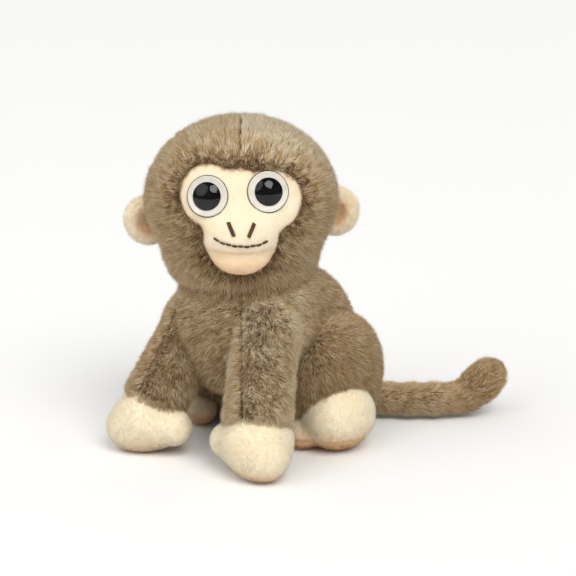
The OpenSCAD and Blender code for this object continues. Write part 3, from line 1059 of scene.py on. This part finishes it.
for side_name, side in SIDES.items():
    field, dent = ear_field(side)
    centre = from_head((EAR_C + (7, 0, EAR_UP * side)) * np.array((side, 1, 1)))
    ear = stuffed(
        f"ear_{side_name}_plush", field, centre - 19, centre + 19, 0.9, cream_skin,
        f"ear_{side_name}", [f"ear_front_{side_name}", f"ear_back_{side_name}"],
    )

    # Peach in the ear's hollow, partly its own colour and partly painted shade in the recess
    def ear_peach_and_shade(p, n=None, dent=dent):
        return np.exp(-np.maximum(dent(p), 0) / 1.8) * 0.62 + 0.06

    peach_and_shade(ear, ear_peach_and_shade)
    velour(f"ear_{side_name}_pile", ear, f"ear_{side_name}", 41 + side, ear_peach_and_shade, long=1.8)

# ---------------------------------------------------------------- trunk and neck


def trunk_flow(p, n):
    """The pile lies down, and parts along the chest seam."""
    front = np.clip((-40 - p[:, 1]) / 15, 0, 1)
    x = np.where(front > 0, past_chest_seam(p), p[:, 0])
    way = np.stack([
        np.sign(x) * (0.25 + front * (0.8 + 2.0 * np.exp(-np.abs(x) / 4))),
        0.45 * (1 - front),
        np.full(len(p), -0.9),
    ], 1)
    return way, 34 + 14 * front


def trunk_shade(p):
    # Painted light: the chest on the monkey's left of the seam, and the upper trunk, are lighter
    # where light falls
    lit = 0.12 * (chest_seam(p) > 0) * (p[:, 1] < -30)
    return 0.43 + lit + 0.12 * np.clip((p[:, 2] - 60) / 50, 0, 1)


trunk_body = meet(1.5, grooved(trunk, 1.4, 1.4, chest_seam), above(0.6))
trunk_skin = stuffed(
    "trunk_skin", trunk_body, (-52, -82, -2), (52, 50, 104), 2.2, brown_skin, "trunk",
    ["trunk_panel_left", "trunk_panel_right", "belly_panel", "seat_panel", "trunk_stuffing"], cap=1.2,
)
# Long pile starts this far up, and the neck's collar hides the trunk above TRUNK_TOP
LOW, TRUNK_TOP = 4.0, 99


def trunk_keep(side):
    """One side of the trunk, with a thin gap at the chest seam."""
    def f(p):
        high = (p[:, 2] > LOW) & (p[:, 2] < TRUNK_TOP)
        return (p[:, 0] * side > 0) & (np.abs(chest_seam(p)) > 0.25) & high

    return f


def down(p, n):
    return np.tile((0, 0, -1.0), (len(p), 1)), np.full(len(p), 40.0)


for side_name, side in SIDES.items():
    coat(
        f"trunk_{side_name}_fur", trunk_skin, 2.9, same(5.2), trunk_flow, brown_strands,
        trunk_shade, "trunk", 51 + side, keep=trunk_keep(side),
    )
NECK_Z = 98
neck = stuffed(
    "neck_skin", drum((0, -38.5, NECK_Z), 35, 32, 10, 5), (-38, -74, 84), (38, -3, 112), 2.0,
    brown_skin, "neck", ["neck_band", "neck_stuffing"],
)
coat(
    "neck_fur", neck, 3.2, same(4.5), down, brown_strands, same(0.42), "neck", 61,
    keep=lambda p: np.abs(p[:, 2] - NECK_Z) < 9,
)

# ---------------------------------------------------------------- arms and hands

ARM_AXIS = (CUFF - SHOULDER) / np.linalg.norm(CUFF - SHOULDER)
# The right arm is sewn on closer to the middle than the left one
ARM_SHIFT = {"left": 0.0, "right": 2.0}
# The right arm's front seam is this far to the right of its middle
RIGHT_SEAM_OFF = 9.0
# The way that the sleeves' fronts face
SLEEVE_FRONT = np.array((0.54, -0.80, 0.1))


def seam_side(side_name):
    """Signed distance from an arm's front seam, in millimetres, positive to the monkey's left."""
    side = SIDES[side_name]
    axis = ARM_AXIS * (side, 1, 1)
    across = ACROSS_CHEST - axis * (ACROSS_CHEST @ axis)
    across /= np.linalg.norm(across)
    start = SHOULDER * (side, 1, 1) + (ARM_SHIFT[side_name], 0, 0)

    def f(p):
        q = p - start
        # The left arm's seam carries on straight down from the chin
        d = p @ ACROSS_CHEST + SEAM_START if side > 0 else q @ across + RIGHT_SEAM_OFF
        return np.where(q @ SLEEVE_FRONT > -3, d, FAR)

    return f


def low_peach_and_shade(top, amount):
    """Peach towards the ground, from the height top down: partly the palms' and soles' own peach and
    partly painted shade underneath.
    """
    return lambda p, n=None: amount * np.clip((top - p[:, 2]) / top, 0, 1) ** 1.4


def past_cuff(p):
    """How far past the left arm's cuff a place is, along the arm."""
    return (p - CUFF) @ ARM_AXIS


# The palms and soles stop flat at SOLE_Z, and short pile starts at VELOUR_LOW
SOLE_Z, VELOUR_LOW = 0.8, 0.9

for side_name, side in SIDES.items():
    seam, body = seam_side(side_name), f"arm_{side_name}"

    def as_left(p, flip=np.array((side, 1, 1)), shift=np.array((ARM_SHIFT[side_name], 0, 0))):
        """Where a place on this arm is on the left one."""
        return (p - shift) * flip

    def placed(f, as_left=as_left):
        return lambda p: f(as_left(p))

    def arm_flow(p, n, flip=np.array((side, 1, 1)), seam=seam):
        d = seam(p)
        part = np.where(d == FAR, 0, np.sign(d) * (0.25 + 1.6 * np.exp(-np.abs(d) / 5)))
        facing = np.clip(n @ SLEEVE_FRONT, 0, 1)
        return ARM_AXIS * flip + ACROSS_CHEST * part[:, None], 30 + 26 * facing

    # Painted light: the left arm, and each arm towards the top, are lighter where light falls
    def arm_shade(p, lit=0.1 * (side > 0)):
        return 0.48 + lit + 0.1 * np.clip((p[:, 2] - 60) / 40, 0, 1)

    def arm_keep(p, as_left=as_left, seam=seam):
        return (np.abs(seam(p)) > 0.35) & (past_cuff(as_left(p)) < 4)

    def hand_keep(p, as_left=as_left):
        return (p[:, 2] > VELOUR_LOW) & (past_cuff(as_left(p)) > 1)

    sleeve_form = placed(meet(3, ARMS[side_name], grown(past_cuff, 4.5)))
    lo, hi = sided_box((2, -106, 8), (70, -20, 104), side)
    sleeve = stuffed(
        f"arm_{side_name}_skin", grooved(sleeve_form, 1.2, 1.2, seam), lo, hi, 1.8, brown_skin,
        body,
        [f"sleeve_outer_{side_name}", f"sleeve_inner_{side_name}", f"arm_stuffing_{side_name}"],
        cap=0.9,
    )
    coat(
        f"arm_{side_name}_fur", sleeve, 4.2, same(5.0), arm_flow, brown_strands, arm_shade, body,
        71 + side, keep=arm_keep, clump=0.4,
    )
    lo, hi = sided_box((-4, -106, -2), (66, -52, 54), side)
    hand_skin = stuffed(
        f"hand_{side_name}", meet(1.2, placed(hand), above(SOLE_Z)), lo, hi, 1.2, cream_skin,
        body, [f"hand_top_{side_name}", f"palm_{side_name}"], cap=0.7,
    )
    hand_peach_and_shade = low_peach_and_shade(13, 0.8)
    peach_and_shade(hand_skin, hand_peach_and_shade)
    velour(
        f"hand_{side_name}_pile", hand_skin, body, 81 + side, hand_peach_and_shade, 5.5, long=1.8,
        keep=hand_keep,
    )

# ---------------------------------------------------------------- legs and feet


def sole_line(p):
    """Distance from the seam round the left foot's sole."""
    return p[:, 2] - 8 - 0.06 * (p[:, 0] - 50)


# Painted light: the haunch is lighter towards the top, where light falls
def haunch_shade(p):
    return 0.4 + 0.1 * np.clip((p[:, 2] - 40) / 40, 0, 1)


haunch_form = meet(1.5, haunch, above(0.6))
foot_form = meet(1.2, grooved(foot, 0.8, 1.0, sole_line), above(SOLE_Z))

for side_name, side in SIDES.items():
    body = f"leg_{side_name}"

    def haunch_flow(p, n, flip=np.array((side, 1, 1))):
        return np.tile(np.array((0.15, 0.55, -1.0)), (len(p), 1)) * flip, np.full(len(p), 30.0)

    def haunch_keep(p, foot_here=sided(foot, side)):
        return (foot_here(p) > 0.3) & (p[:, 2] > LOW)

    lo, hi = sided_box((12, -44, -2), (70, 38, 78), side)
    leg_skin = stuffed(
        f"haunch_{side_name}_skin", sided(haunch_form, side), lo, hi, 2.0, brown_skin,
        body, [f"haunch_panel_{side_name}", f"leg_stuffing_{side_name}"], cap=1.0,
    )
    coat(
        f"haunch_{side_name}_fur", leg_skin, 3.6, same(5.2), haunch_flow, brown_strands,
        haunch_shade, body, 91 + side, keep=haunch_keep,
    )
    lo, hi = sided_box((22, -46, -2), (78, 10, 44), side)
    foot_skin = stuffed(
        f"foot_{side_name}", sided(foot_form, side), lo, hi, 1.2, cream_skin,
        body, [f"foot_top_{side_name}", f"foot_sole_{side_name}"], cap=0.7,
    )
    foot_peach_and_shade = low_peach_and_shade(20, 1.2)
    peach_and_shade(foot_skin, foot_peach_and_shade)
    velour(
        f"foot_{side_name}_pile", foot_skin, body, 101 + side, foot_peach_and_shade, 5.5, long=1.8,
        keep=lambda p: p[:, 2] > VELOUR_LOW,
    )

# ---------------------------------------------------------------- tail


def tail_flow(p, n):
    return np.tile(np.array((0.85, 0.5, -0.1)), (len(p), 1)), np.full(len(p), 28.0)


def tip_flow(p, n):
    return np.tile(np.array((0.6, 0.6, 0.6)), (len(p), 1)), np.full(len(p), 30.0)


def tail_keep(p):
    return p[:, 2] > 3.2


tail_skin = stuffed(
    "tail_skin", tail_form, (-4, 22, 0), (96, 82, 26), 1.6, brown_skin, "tail",
    ["tail_sleeve", "tail_stuffing"], cap=0.6,
)
# Painted light: the tail's strands are lighter, making up for the shade that it gets low by the floor
coat(
    "tail_fur", tail_skin, 4.5, same(4.6), tail_flow, brown_strands, same(0.5), "tail", 111,
    keep=tail_keep,
)
tip_skin = stuffed(
    "tail_tip_skin", tip_form, (68, 54, 0), (114, 100, 40), 1.6, brown_skin, "tail_tip",
    ["tail_tip_sleeve", "tail_tip_stuffing"], cap=0.6,
)
coat(
    "tail_tip_fur", tip_skin, 4.5, same(4.8), tip_flow, brown_strands, same(0.37), "tail_tip", 112,
    keep=tail_keep,
)

# ---------------------------------------------------------------- parts kept from the frame

post_black = cloth("post_plastic", [0.01] * 3, [0.03] * 3, 200, 0.2, rough=0.4, sheen=0.0)
washer_white = cloth(
    "washer_plastic", (0.8, 0.8, 0.79), (0.9, 0.9, 0.89), 200, 0.2, rough=0.45, sheen=0.0
)
for side_name in SIDES:
    for part, material in (("post", post_black), ("washer", washer_white)):
        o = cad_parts[f"eye_{part}_{side_name}"]
        o.data.materials.clear()
        o.data.materials.append(material)
